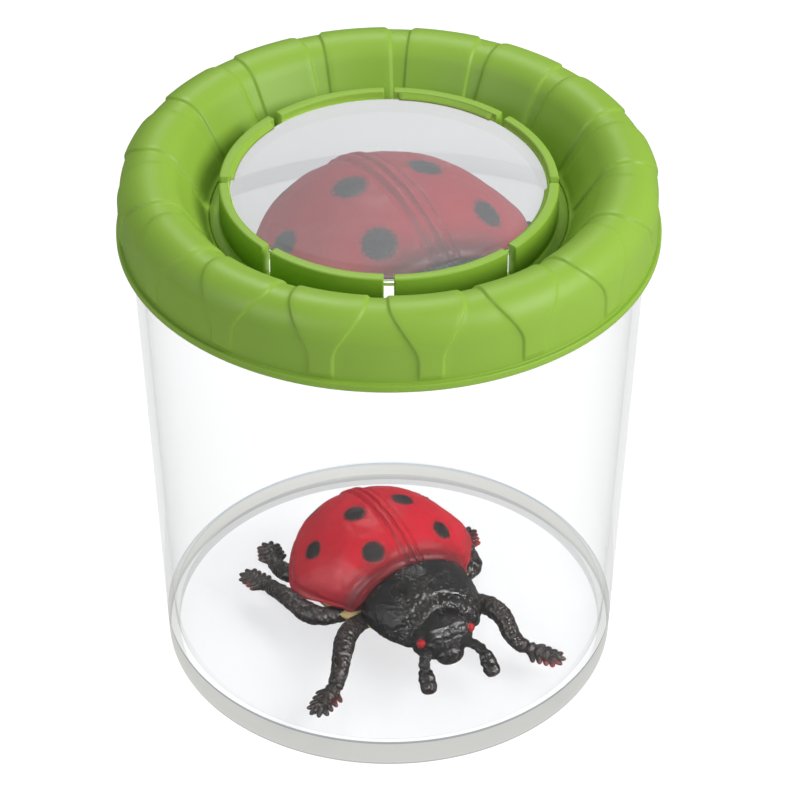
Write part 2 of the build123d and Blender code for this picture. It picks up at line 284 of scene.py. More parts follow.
def add_bump(tree, height, strength, distance):
    """Bump node on a height; gives its normal."""
    node = put(tree, "ShaderNodeBump", Strength=strength, Distance=distance)
    tree.links.new(height, node.inputs["Height"])
    return node.outputs["Normal"]


def ranged(tree, value, low, high, to_low, to_high):
    """Value mapped from one range to another and clamped; gives the result."""
    node = put(tree, "ShaderNodeMapRange", interpolation_type="SMOOTHSTEP")
    tree.links.new(value, node.inputs["Value"])
    for name, number in (("From Min", low), ("From Max", high), ("To Min", to_low), ("To Max", to_high)):
        node.inputs[name].default_value = number
    return node.outputs["Result"]


def finish_paint(tree, out, shader, tone, roughness):
    """Links a paint's colour and roughness, and the shader to the output."""
    tree.links.new(tone, shader.inputs["Base Color"])
    tree.links.new(roughness, shader.inputs["Roughness"])
    tree.links.new(shader.outputs[0], out.inputs["Surface"])


def make_green_plastic():
    """Satin green moulded plastic: small colour drift, soft sheen and a very fine grain."""
    material, tree, out = new_material("green_plastic")
    shader = put(tree, "ShaderNodeBsdfPrincipled", IOR=1.48)
    shader.inputs["Specular IOR Level"].default_value = 0.36
    grain = add_grain(tree, 2600.0, 42.0, 0.6)
    tone = mix_colour(tree, grain.outputs["Broad"], (0.245, 0.415, 0.038, 1), (0.270, 0.448, 0.047, 1))
    roughness = ranged(tree, grain.outputs["Broad"], 0.3, 0.7, 0.40, 0.47)
    finish_paint(tree, out, shader, tone, roughness)
    tree.links.new(add_bump(tree, grain.outputs["Height"], 0.06, 0.00015), shader.inputs["Normal"])
    return material


def add_passed(tree, path):
    """1 for rays that come straight from the lens's view or through the cup's film of grey and painted
    shade.
    """
    unbent = math(tree, "LESS_THAN", path.outputs["Transmission Depth"], 0.5)
    straight_on = math(tree, "GREATER_THAN", path.outputs["Transparent Depth"], 0.5)
    return math(tree, "MULTIPLY", unbent, straight_on)


LONG_PATH = 4.5


def add_clear(tree, out, inside):
    """Finish of clear plastic round a shader: shadow rays, long paths and passed rays go straight on."""
    path = put(tree, "ShaderNodeLightPath")
    deep = math(tree, "GREATER_THAN", path.outputs["Ray Depth"], LONG_PATH)
    passed = add_passed(tree, path)
    free = math(tree, "MAXIMUM", deep, passed)
    free = math(tree, "MAXIMUM", path.outputs["Is Shadow Ray"], free)
    through = put(tree, "ShaderNodeBsdfTransparent")
    through.inputs["Color"].default_value = (0.985, 0.985, 0.985, 1)
    tree.links.new(mix_shaders(tree, free, inside, through).outputs[0], out.inputs["Surface"])


def add_clear_shader(tree, bending):
    """Clear plastic that bends light by an index, with a quiet reflection."""
    shader = put(tree, "ShaderNodeBsdfPrincipled", IOR=bending, Roughness=0.0)
    shader.inputs["Base Color"].default_value = (1, 1, 1, 1)
    shader.inputs["Transmission Weight"].default_value = 1.0
    shader.inputs["Specular Tint"].default_value = (0.35, 0.35, 0.35, 1)
    return shader


SKIN_DEPTH, LINE_WIDTH, RIM_DEPTH, FLOOR_MARGIN = 0.35, 0.6, 0.9, 0.4
SEAT_RISE, SEAT_DROP = 1.0, 2.15


def make_clear_plastic():
    """Clear plastic of the cup: an unbending coated wall, and a film at its base, floor and rim that is
    lightly grey and darkened with painted shade at the base, its edges and the rim.
    """
    material, tree, out = new_material("clear_plastic")
    place = put(tree, "ShaderNodeTexCoord").outputs["Object"]
    height = split_axes(tree, place)["Z"]
    flat = put(tree, "ShaderNodeVectorMath", operation="MULTIPLY")
    flat.inputs[1].default_value = (1, 1, 0)
    tree.links.new(place, flat.inputs[0])
    length = put(tree, "ShaderNodeVectorMath", operation="LENGTH")
    tree.links.new(flat.outputs["Vector"], length.inputs[0])
    radius = length.outputs["Value"]
    leaving = put(tree, "ShaderNodeNewGeometry").outputs["Backfacing"]
    entering = math(tree, "SUBTRACT", 1.0, leaving)
    outside = math(tree, "GREATER_THAN", radius, (CUP_BASE - SKIN_DEPTH) * MM)
    indoors = math(tree, "SUBTRACT", 1.0, outside)
    front = math(tree, "MULTIPLY", outside, entering)
    rear = math(tree, "MULTIPLY", outside, leaving)
    low = math(tree, "LESS_THAN", height, LINE_WIDTH * MM)
    foot = math(tree, "GREATER_THAN", radius, (CUP_BASE - CUP_FOOT) * MM)
    foot = math(tree, "MULTIPLY", leaving, foot)
    foot_low = math(tree, "MULTIPLY", foot, low)
    foot_line = math(tree, "MULTIPLY", outside, low)
    seat = math(tree, "MULTIPLY_ADD", leaving, -SEAT_DROP * MM, (CUP_FLOOR_TOP + SEAT_RISE) * MM)
    under_seat = math(tree, "SUBTRACT", seat, height)
    seat_line = math(tree, "LESS_THAN", under_seat, LINE_WIDTH * MM)
    seat_line = math(tree, "MULTIPLY", outside, seat_line)
    corner_low, corner_high = (CUP_FLOOR_TOP + 0.05) * MM, (CUP_FLOOR_TOP + 0.15) * MM
    corner = ranged(tree, height, corner_low, corner_high, 0.0, 1.0)
    corner = math(tree, "MULTIPLY", corner, indoors)
    rim = math(tree, "GREATER_THAN", height, (CUP_HEIGHT - RIM_DEPTH) * MM)
    # Painted shade: the film's darker grey tints stand in for the shade that the thick base, its bottom
    # edge, the floor's edge and the rim show by refraction. The base's far side is darkest. The plain tint
    # is the plastic's own slight grey.
    tint_and_painted_shade = (0.925, 0.925, 0.93, 1)
    for where, colour in (
        (foot_low, (0.83, 0.83, 0.82, 1)),
        (front, (0.95, 0.95, 0.90, 1)),
        (rear, (0.70, 0.70, 0.67, 1)),
        (foot_line, (0.62, 0.62, 0.61, 1)),
        (seat_line, (0.60, 0.63, 0.66, 1)),
        (corner, (0.84, 0.86, 0.88, 1)),
        (rim, (0.80, 0.82, 0.84, 1)),
    ):
        tint_and_painted_shade = mix_colour(tree, where, tint_and_painted_shade, colour)
    film = put(tree, "ShaderNodeBsdfTransparent")
    tree.links.new(tint_and_painted_shade, film.inputs["Color"])
    base = math(tree, "GREATER_THAN", under_seat, 0.0)
    base = math(tree, "MULTIPLY", outside, base)
    floor = math(tree, "LESS_THAN", height, (CUP_FLOOR_TOP + FLOOR_MARGIN) * MM)
    floor = math(tree, "MULTIPLY", indoors, floor)
    filmed = math(tree, "MAXIMUM", base, floor)
    filmed = math(tree, "MAXIMUM", filmed, rim)
    wall = add_clear_shader(tree, 1.0)
    wall.inputs["Coat Weight"].default_value = 0.28
    wall.inputs["Coat Roughness"].default_value = 0.0
    add_clear(tree, out, mix_shaders(tree, filmed, wall, film))
    depth = put(tree, "ShaderNodeVolumeAbsorption", Density=8.0)
    depth.inputs["Color"].default_value = (0.02, 0.03, 0.0, 1)
    tree.links.new(depth.outputs[0], out.inputs["Volume"])
    return material


MAGNIFIED, VIEW_SHIFT, VIEW_SHARE, LENS_HAZE = 1.5, (2.8, 1.1, 64.0), 0.95, 0.15


def make_lens_plastic():
    """Magnifying lens: clear plastic whose upper face shows the cup's inside enlarged, under a thin haze.

    A ray that meets the upper face at P goes on in its direction from (P - shift) / magnification."""
    material, tree, out = new_material("lens_plastic")
    shader = add_clear_shader(tree, 1.49)
    place = put(tree, "ShaderNodeTexCoord").outputs["Object"]
    shrink = put(tree, "ShaderNodeMapping")
    shrink.vector_type = "TEXTURE"
    shrink.inputs["Location"].default_value = np.array(VIEW_SHIFT) * MM
    shrink.inputs["Scale"].default_value = (MAGNIFIED, MAGNIFIED, MAGNIFIED)
    tree.links.new(place, shrink.inputs["Vector"])
    view = put(tree, "ShaderNodeBsdfRayPortal")
    view.inputs["Color"].default_value = (1, 1, 1, 1)
    tree.links.new(shrink.outputs["Vector"], view.inputs["Position"])
    upper = math(tree, "GREATER_THAN", split_axes(tree, place)["Z"], (LENS_EDGE_TOP - 0.02) * MM)
    facing = math(tree, "SUBTRACT", 1.0, put(tree, "ShaderNodeNewGeometry").outputs["Backfacing"])
    shown = math(tree, "MULTIPLY", upper, facing)
    share = math(tree, "MULTIPLY", shown, VIEW_SHARE)
    looked = mix_shaders(tree, share, shader, view)
    haze = put(tree, "ShaderNodeBsdfDiffuse")
    add_clear(tree, out, mix_shaders(tree, math(tree, "MULTIPLY", shown, LENS_HAZE), looked, haze))
    return material


def in_beetle(tree):
    """Object coordinates turned into the beetle's own frame, in metres; gives one vector socket."""
    place = put(tree, "ShaderNodeTexCoord").outputs["Object"]
    frame_of_beetle = put(tree, "ShaderNodeMapping")
    frame_of_beetle.vector_type = "TEXTURE"
    frame_of_beetle.inputs["Location"].default_value = np.array(BEETLE_PLACE) * MM
    frame_of_beetle.inputs["Rotation"].default_value = (0, 0, np.radians(BEETLE_HEADING))
    tree.links.new(place, frame_of_beetle.inputs["Vector"])
    return frame_of_beetle.outputs["Vector"]


# Black spots of the wing cases: x and y in the beetle's frame, and radius
SPOTS = (
    (-2.0, -4.5, 2.3),
    (-0.9, -14.2, 2.1),
    (8.2, -5.6, 2.4),
    (-12.3, -8.7, 2.0),
    (-2.2, 6.1, 2.3),
    (6.8, 10.2, 2.2),
)


def make_red_vinyl():
    """Glossy red wing-case paint with ragged black spots that are rougher and grainy, a darker band along
    the front edge, and painted shade darkening the red towards the lower edge.
    """
    material, tree, out = new_material("red_vinyl")
    shader = put(tree, "ShaderNodeBsdfPrincipled", IOR=1.5)
    shader.inputs["Specular IOR Level"].default_value = 0.35
    place = in_beetle(tree)
    ragged = put(tree, "ShaderNodeTexNoise", Scale=2600.0, Detail=4.0, Roughness=0.7)
    tree.links.new(place, ragged.inputs["Vector"])
    rag = math(tree, "MULTIPLY_ADD", ragged.outputs["Fac"], 0.9, -0.45)
    spot_mask = 0.0
    for x, y, size in SPOTS:
        height = SHELL_EDGE + SHELL_RISE * np.sqrt(1 - (x * x + y * y) / SHELL_RADIUS**2)
        toward = put(tree, "ShaderNodeVectorMath", operation="DISTANCE")
        toward.inputs[1].default_value = (x * MM, y * MM, height * MM)
        tree.links.new(place, toward.inputs[0])
        edge = math(tree, "MULTIPLY_ADD", toward.outputs["Value"], 1 / (size * MM), rag)
        spot = ranged(tree, edge, 0.74, 1.16, 1.0, 0.0)
        spot_mask = math(tree, "MAXIMUM", spot, spot_mask)
    along = split_axes(tree, place)
    # A darker band with a ragged edge runs along the wing cases' front edge, next to the pronotum.
    ragged_front = math(tree, "MULTIPLY_ADD", rag, 0.004, along["X"])
    front_darkening = ranged(tree, ragged_front, 0.0080, 0.0125, 0.0, 0.88)
    grain = add_grain(tree, 1300.0, 110.0, 0.4)
    red = mix_colour(tree, grain.outputs["Broad"], (0.325, 0.003, 0.010, 1), (0.43, 0.006, 0.018, 1))
    red = mix_colour(tree, front_darkening, red, (0.085, 0.008, 0.010, 1))
    # Painted shade: the red darkens towards the shell's lower edge near the floor.
    level = math(tree, "MULTIPLY_ADD", rag, 0.002, along["Z"])
    low = ranged(tree, level, 0.005, 0.010, 0.5, 0.0)
    red = mix_colour(tree, low, red, (0.17, 0.010, 0.016, 1))
    noise = ragged.outputs["Fac"]
    speck = mix_colour(tree, noise, (0.006, 0.005, 0.005, 1), (0.028, 0.024, 0.023, 1))
    roughness = ranged(tree, spot_mask, 0.0, 1.0, 0.38, 0.30)
    finish_paint(tree, out, shader, mix_colour(tree, spot_mask, red, speck), roughness)
    relief = math(tree, "MULTIPLY_ADD", spot_mask, 2.2, 0.03)
    height = math(tree, "MULTIPLY", noise, relief)
    height = math(tree, "MULTIPLY_ADD", grain.outputs["Height"], 0.15, height)
    tree.links.new(add_bump(tree, height, 0.35, 0.0003), shader.inputs["Normal"])
    return material


def make_dark_vinyl(name, dark, brown, patch_low, brown_low, shine):
    """Dark painted vinyl with pebbled skin, lighter pebble crests as a painted highlight, and reddish brown
    showing low on the piece.
    """
    material, tree, out = new_material(name)
    shader = put(tree, "ShaderNodeBsdfPrincipled", IOR=1.5)
    shader.inputs["Specular IOR Level"].default_value = 0.6
    place = in_beetle(tree)
    pebble = put(tree, "ShaderNodeTexVoronoi", Scale=1500.0, Randomness=1.0)
    pebble.feature = "SMOOTH_F1"
    pebble.inputs["Smoothness"].default_value = 0.6
    tree.links.new(place, pebble.inputs["Vector"])
    grain = add_grain(tree, 1400.0, 160.0, 0.5)
    wander = math(tree, "MULTIPLY_ADD", grain.outputs["Broad"], 0.004, -0.002)
    level = math(tree, "ADD", split_axes(tree, place)["Z"], wander)
    worn = ranged(tree, level, 0.0, brown_low * MM, 1.0, 0.0)
    tone = mix_colour(tree, worn, dark, brown)
    patch = ranged(tree, grain.outputs["Broad"], patch_low, patch_low + 0.12, 0.12, 1.0)
    # Painted highlight: in patches, the pebble crests are lighter and warm. This colour stands in for the
    # glints that the pebbled skin catches.
    painted_crest_glint = ranged(tree, pebble.outputs["Distance"], 0.1, 0.45, 1.0, 0.0)
    painted_crest_glint = math(tree, "MULTIPLY", painted_crest_glint, patch)
    tone = mix_colour(tree, painted_crest_glint, tone, (0.060, 0.052, 0.047, 1))
    roughness = ranged(tree, grain.outputs["Broad"], 0.3, 0.7, shine, shine + 0.12)
    finish_paint(tree, out, shader, tone, roughness)
    pebbled = math(tree, "MULTIPLY", pebble.outputs["Distance"], patch)
    height = math(tree, "MULTIPLY", grain.outputs["Height"], 0.08)
    height = math(tree, "SUBTRACT", height, pebbled)
    tree.links.new(add_bump(tree, height, 0.4, 0.0005), shader.inputs["Normal"])
    return material


def make_tan_vinyl():
    """Bare yellowish vinyl under the beetle, dull and a little mottled."""
    material, tree, out = new_material("tan_vinyl")
    shader = put(tree, "ShaderNodeBsdfPrincipled", IOR=1.5)
    grain = add_grain(tree, 1200.0, 200.0, 0.5)
    tone = mix_colour(tree, grain.outputs["Broad"], (0.42, 0.27, 0.065, 1), (0.62, 0.47, 0.15, 1))
    roughness = ranged(tree, grain.outputs["Broad"], 0.3, 0.7, 0.45, 0.6)
    finish_paint(tree, out, shader, tone, roughness)
    tree.links.new(add_bump(tree, grain.outputs["Height"], 0.3, 0.0002), shader.inputs["Normal"])
    return material


def make_eye_red():
    """Glossy red eye paint with a little depth of tone."""
    material, tree, out = new_material("eye_red")
    shader = put(tree, "ShaderNodeBsdfPrincipled", IOR=1.5)
    grain = add_grain(tree, 1500.0, 500.0, 0.4)
    tone = mix_colour(tree, grain.outputs["Broad"], (0.22, 0.003, 0.005, 1), (0.34, 0.007, 0.009, 1))
    roughness = ranged(tree, grain.outputs["Broad"], 0.3, 0.7, 0.12, 0.2)
    finish_paint(tree, out, shader, tone, roughness)
    return material


green_plastic = make_green_plastic()
clear_plastic = make_clear_plastic()
lens_plastic = make_lens_plastic()
red_vinyl = make_red_vinyl()
BLACK, BLACK_WORN = (0.006, 0.005, 0.005, 1), (0.05, 0.020, 0.012, 1)
LEG_DARK, LEG_WORN = (0.012, 0.007, 0.006, 1), (0.30, 0.020, 0.014, 1)
black_vinyl = make_dark_vinyl("black_vinyl", BLACK, BLACK_WORN, 0.42, 5.0, 0.20)
leg_vinyl = make_dark_vinyl("leg_vinyl", LEG_DARK, LEG_WORN, 0.2, 1.2, 0.26)
tan_vinyl = make_tan_vinyl()
eye_red = make_eye_red()


# Jar and lid


def make_cup():
    """Clear cup: one closed section of foot, wall, rim and floor, carried round the axis."""
    inside_low = CUP_BASE + CUP_TAPER * CUP_FLOOR_TOP - CUP_WALL
    section = rounded(
        [
            (0, CUP_FLOOR_BOTTOM, 0),
            (CUP_BASE - CUP_FOOT, CUP_FLOOR_BOTTOM, 0.4),
            (CUP_BASE - CUP_FOOT, 0, 0.3),
            (CUP_BASE, 0, 0.7),
            (CUP_RIM, CUP_HEIGHT, 0.4),
            (CUP_RIM - CUP_WALL, CUP_HEIGHT, 0.4),
            (inside_low, CUP_FLOOR_TOP, 0.7),
            (0, CUP_FLOOR_TOP, 0),
        ],
        closed=False,
    )
    skin = turned(filled(section, 6.0), 640)
    return make_piece("cup_clear", [(skin, False, True)], clear_plastic, "jar", ["jar_cup"])


def ring_line(depth, low_height):
    """Lid ring's top line at a depth under the petals: trough slope, round arch and start of the skirt."""
    radius = ARCH_RADIUS - depth
    lean = np.radians(SLOPE_ANGLE)
    turn = np.linspace(lean, -np.pi / 2, 34)
    arch = np.stack([CREST_RADIUS - radius * np.sin(turn), ARCH_HEIGHT + radius * np.cos(turn)], axis=-1)
    foot = arch[0, 0] - (arch[0, 1] - low_height) / np.tan(lean)
    return np.concatenate([[[foot, low_height]], arch])


def petal_edge(line):
    """Half angle of a petal along the ring's line: wide inside, drawn in over the shoulder to a slim rib."""
    radius, height = line[:, 0], line[:, 1]
    inner = np.interp(radius, [FLANGE_RADIUS, CREST_RADIUS], [PETAL_INNER, PETAL_CREST])
    round_turn = np.arctan2(radius - CREST_RADIUS, np.maximum(height - ARCH_HEIGHT, 1e-6))
    walked = ARCH_RADIUS * round_turn + np.maximum(ARCH_HEIGHT - height, 0)
    outer = PETAL_CREST - PETAL_DRAWN_IN * step(walked, 0.3, 12.5)
    return np.where(radius < CREST_RADIUS, inner, outer)


def make_lid_ring():
    """Green ring: a closed section round the axis, whose outside is raised by petals with soft sides."""
    outside = ring_line(PETAL_HEIGHT, TROUGH_FLOOR)
    corners = [(FLANGE_RADIUS, TROUGH_FLOOR, 0), (*outside[0], 0.9)]
    corners += [(*point, 0) for point in outside[1:]]
    corners += [(outside[-1, 0], BEAD_TOP, 0.25), (BEAD_RADIUS, BEAD_TOP, 0.35)]
    corners += [(BEAD_RADIUS, LID_BOTTOM, 0.35), (SKIRT_INSIDE, LID_BOTTOM, 0.2)]
    outside = filled(rounded(corners, closed=False, turns=5), 0.5)
    lip_bottom = FLANGE_BOTTOM - LIP_DROP
    lip_radius = FLANGE_RADIUS - LIP_DROP
    under = ring_line(PETAL_HEIGHT + LID_WALL, lip_bottom)[::-1]
    at_outside = np.interp(PLUG_OUTSIDE, under[::-1, 0], under[::-1, 1])
    at_inside = np.interp(PLUG_INSIDE, under[::-1, 0], under[::-1, 1])
    plug = [(PLUG_OUTSIDE, at_outside), (PLUG_OUTSIDE, PLUG_BOTTOM)]
    plug += [(PLUG_INSIDE, PLUG_BOTTOM), (PLUG_INSIDE, at_inside)]
    lip = [(lip_radius, lip_bottom), (lip_radius, FLANGE_BOTTOM), (FLANGE_RADIUS, FLANGE_BOTTOM)]
    under = np.concatenate([under[under[:, 0] > PLUG_OUTSIDE], plug, under[under[:, 0] < PLUG_INSIDE], lip])
    line = np.concatenate([outside, filled(under, 2.5)])
    count = len(outside)
    ahead = np.roll(line, -1, axis=0) - np.roll(line, 1, axis=0)
    outward = np.stack([-ahead[:, 1], ahead[:, 0]], axis=-1)
    outward /= np.linalg.norm(outward, axis=1, keepdims=True)
    edge = petal_edge(line)
    soft = np.degrees(PETAL_SOFT / line[:, 0])
    half_step = 180 / PETALS
    side = np.concatenate(
        [
            np.linspace(0, 1, 6)[:-1, None] * (edge - soft),
            edge - soft + np.linspace(0, 1, 7)[:-1, None] * 2 * soft,
            edge + soft + np.linspace(0, 1, 5)[:, None] * (half_step - edge - soft),
        ]
    ).T
    period = np.concatenate([-side[:, :0:-1], side[:, :-1]], axis=1)
    petal_middle = PETAL_TURN + 2 * half_step * np.arange(PETALS)[:, None]
    angle = (petal_middle + period[:, None, :]).reshape(len(line), -1)
    raised = 1 - step(np.abs(np.tile(period, PETALS)), (edge - soft)[:, None], (edge + soft)[:, None])
    shown = step(line[:, 1], BEAD_TOP + 0.35, BEAD_TOP + 1.5)
    shown = np.where(line[:, 0] < CREST_RADIUS, step(line[:, 0], FLANGE_RADIUS, FLANGE_RADIUS + 1.6), shown)
    shown *= np.arange(len(line)) < count
    lift = PETAL_HEIGHT * raised * shown[:, None]
    radius = line[:, :1] + outward[:, :1] * lift
    height = line[:, 1:] + outward[:, 1:] * lift
    turn = np.radians(angle)
    skin = np.stack([radius * np.cos(turn), radius * np.sin(turn), height], axis=-1)
    patches = [(skin, True, True)]
    return make_piece("lid_ring_green", patches, green_plastic, "lid", ["lid_ring"])


def make_finger(middle, hooked):
    """One spring finger: a section carried through its span, with a ledge or hook inside and closed ends."""
    half_span = 180 / FINGERS - np.degrees(SLOT_WIDTH / 2 / COLLAR_OUTSIDE)
    catch = CATCH_SPAN / 2 + CATCH_MARGIN
    turn = np.concatenate(
        [
            [-half_span, -half_span, -half_span + 0.25],
            np.linspace(-half_span + 0.6, -catch - 0.3, 3),
            np.linspace(-catch, catch, 22),
            np.linspace(catch + 0.3, half_span - 0.6, 3),
            [half_span - 0.25, half_span, half_span],
        ]
    )
    shrink = np.zeros(len(turn))
    shrink[[0, -1]] = 1.0
    shrink[[1, -2]] = 0.14
    shown = (np.abs(turn) <= catch + 0.01).astype(float)
    reach = HOOK_REACH if hooked else LEDGE_REACH
    hook = (LENS_EDGE_TOP + HOOK_GAP, HOOK_EDGE, HOOK_SLOPE)
    ledge = (LENS_SEAT - LEDGE_DEPTH, LEDGE_DEPTH, LEDGE_TOP)
    bottom, edge, top = hook if hooked else ledge
    section = rounded(
        [
            (0, FINGER_FOOT, 0),
            (COLLAR_OUTSIDE - COLLAR_INSIDE, FINGER_FOOT, 0),
            (COLLAR_OUTSIDE - COLLAR_INSIDE, COLLAR_TOP, 0.45),
            (0, COLLAR_TOP, 0.1 if hooked else 0.45),
        ]
    )
    catch_line = [(0.0, bottom + top), (-1.0, bottom + edge), (-1.0, bottom), (0.0, bottom)]
    inner = filled(np.array(catch_line), 0.4)
    loop = np.concatenate([section, inner])
    radius = COLLAR_INSIDE + np.where(loop[:, 0] < 0, loop[:, 0] * reach * shown[:, None], loop[:, 0])
    height = np.repeat(loop[None, :, 1], len(turn), axis=0)
    centre_radius, centre_height = (COLLAR_INSIDE + COLLAR_OUTSIDE) / 2, (FINGER_FOOT + COLLAR_TOP) / 2
    radius += (centre_radius - radius) * shrink[:, None]
    height += (centre_height - height) * (shrink * np.where(shrink < 1, 0.15, 1))[:, None]
    angle = np.radians(middle + turn)[:, None]
    return np.stack([radius * np.cos(angle), radius * np.sin(angle), height], axis=-1)


def make_collar():
    """Green collar: flange ring and fingers, by turns with a ledge under the lens and a hook over it."""
    ring = rounded(
        [
            (COLLAR_INSIDE, FLANGE_BOTTOM, 0.15),
            (FLANGE_RADIUS - 0.1, FLANGE_BOTTOM, 0.15),
            (FLANGE_RADIUS - 0.01, TROUGH_FLOOR, 0),
            (COLLAR_OUTSIDE, TROUGH_FLOOR, 0.55),
            (COLLAR_OUTSIDE, FINGER_FOOT + 0.05, 0.1),
            (COLLAR_INSIDE, FINGER_FOOT + 0.05, 0.1),
        ]
    )
    patches = [(turned(ring, 256), True, True)]
    for index in range(FINGERS):
        middle = (index + 0.5) * 360 / FINGERS
        patches.append((make_finger(middle, index % 2 == 1), False, True))
    return make_piece("lens_collar_green", patches, green_plastic, "lid", ["lens_collar"])


def make_lens():
    """Magnifying lens: two shallow ball faces and a flat land, carried round the axis."""
    reach = LENS_RADIUS - LENS_LAND
    ball_radius = (reach**2 + LENS_BULGE**2) / (2 * LENS_BULGE)
    radius = np.linspace(0, reach, 40)
    bulge = np.sqrt(ball_radius**2 - radius**2) - (ball_radius - LENS_BULGE)
    low = np.stack([radius, LENS_SEAT - bulge], axis=-1)
    high = np.stack([radius, LENS_EDGE_TOP + bulge], axis=-1)[::-1]
    corners = [(reach, LENS_SEAT, 0), (LENS_RADIUS, LENS_SEAT, 0.2)]
    corners += [(LENS_RADIUS, LENS_EDGE_TOP, 0.2), (reach, LENS_EDGE_TOP, 0)]
    rim = rounded(corners, closed=False)
    line = np.concatenate([low, rim[1:-1], high])
    patches = [(turned(line, 256), False, True)]
    return make_piece("lens_clear", patches, lens_plastic, "lid", ["lens"])


# Toy beetle


def set_down(points):
    """Points of the beetle's own frame, turned to its heading and set on the cup's floor."""
    turn = np.radians(BEETLE_HEADING)
    x, y, z = points[..., 0], points[..., 1], points[..., 2]
    return np.stack(
        [
            x * np.cos(turn) - y * np.sin(turn) + BEETLE_PLACE[0],
            x * np.sin(turn) + y * np.cos(turn) + BEETLE_PLACE[1],
            z + BEETLE_PLACE[2],
        ],
        axis=-1,
    )


def make_beetle_piece(name, grids, material):
    """Piece of the beetle from grids in its own frame, in place of the CAD node of the same name."""
    patches = [(set_down(grid), False, True) for grid in grids]
    return make_piece(name, patches, material, "beetle", [f"beetle_{name}"])


def side_name(side):
    """Name of the beetle's side: +1 is its left."""
    return "left" if side > 0 else "right"


def capped(points):
    """Grid of closed sections with its first and last section drawn to their middles, so that it is shut."""
    first = np.repeat(points[:1].mean(axis=1, keepdims=True), points.shape[1], axis=1)
    last = np.repeat(points[-1:].mean(axis=1, keepdims=True), points.shape[1], axis=1)
    return np.concatenate([first, points, last])


def make_wing_case(side):
    """Wing case: oval arcs across the dome, with a ridge by the seam, a lip in front and a flared side."""
    along = np.radians(np.linspace(4, 180 - np.degrees(np.arccos(SHELL_FRONT / SHELL_RADIUS)), 120))
    x = -SHELL_RADIUS * np.cos(along)
    half_width = np.sqrt(np.maximum(SHELL_RADIUS**2 - x**2, 0))
    rise = SHELL_RISE * half_width / SHELL_RADIUS
    seam_side = side * 1.2 * np.clip((x + SHELL_RADIUS) / 30, 0, 1)[:, None]
    arc = np.concatenate([np.linspace(0, 0.87, 60), np.linspace(0.873, 1, 40)])
    arc = arc * np.arccos(seam_side / half_width[:, None])
    y = half_width[:, None] * np.cos(arc)
    z = rise[:, None] * np.sin(arc)
    place = np.stack([np.repeat(x[:, None], arc.shape[1], axis=1), y, z], axis=-1)
    normal = place / np.array([SHELL_RADIUS**2, SHELL_RADIUS**2, SHELL_RISE**2])
    normal /= np.linalg.norm(normal, axis=-1, keepdims=True)
    off_seam = y - seam_side
    ridge = 0.35 * step(off_seam, 0.18, 0.45) * (1 - step(off_seam, 0.9, 1.5))
    groove = -0.25 * bump(off_seam, 1.75, 0.35)
    front = SHELL_FRONT - x[:, None]
    lip = 0.25 * bump(front, 0.7, 0.6) - 0.15 * bump(front, 2.0, 0.7)
    skin = 0.10 * lumps(place, 2.6, 3) + 0.05 * lumps(place, 1.1, 5)
    hem = 0.30 * bump(z, 0.5, 0.6) - 0.2 * bump(z, 1.7, 0.6)
    flare = 1.7 * bump(x, 0.8, 5.0)[:, None] * (1 - step(z, 0.5, 8.0))
    place = place + normal * (ridge + groove + lip + skin + hem)[..., None] + flare[..., None] * [0, 1, 0]
    place[..., 2] = np.maximum(place[..., 2], 1.5 * step(x, 1.0, 9.0)[:, None]) + SHELL_EDGE
    place[..., 1] = np.maximum(place[..., 1], seam_side + SEAM_GAP)
    place[..., 0] = np.minimum(place[..., 0], SHELL_FRONT)
    seam = place[:, -1:].copy()
    seam[..., 1] = seam_side + SEAM_GAP
    down = seam * [1, 1, 0] + [0, 0, SHELL_EDGE]
    loop = np.concatenate([place, seam, down], axis=1) * [1, side, 1]
    return make_beetle_piece(f"wing_case_{side_name(side)}", [capped(loop)], red_vinyl)


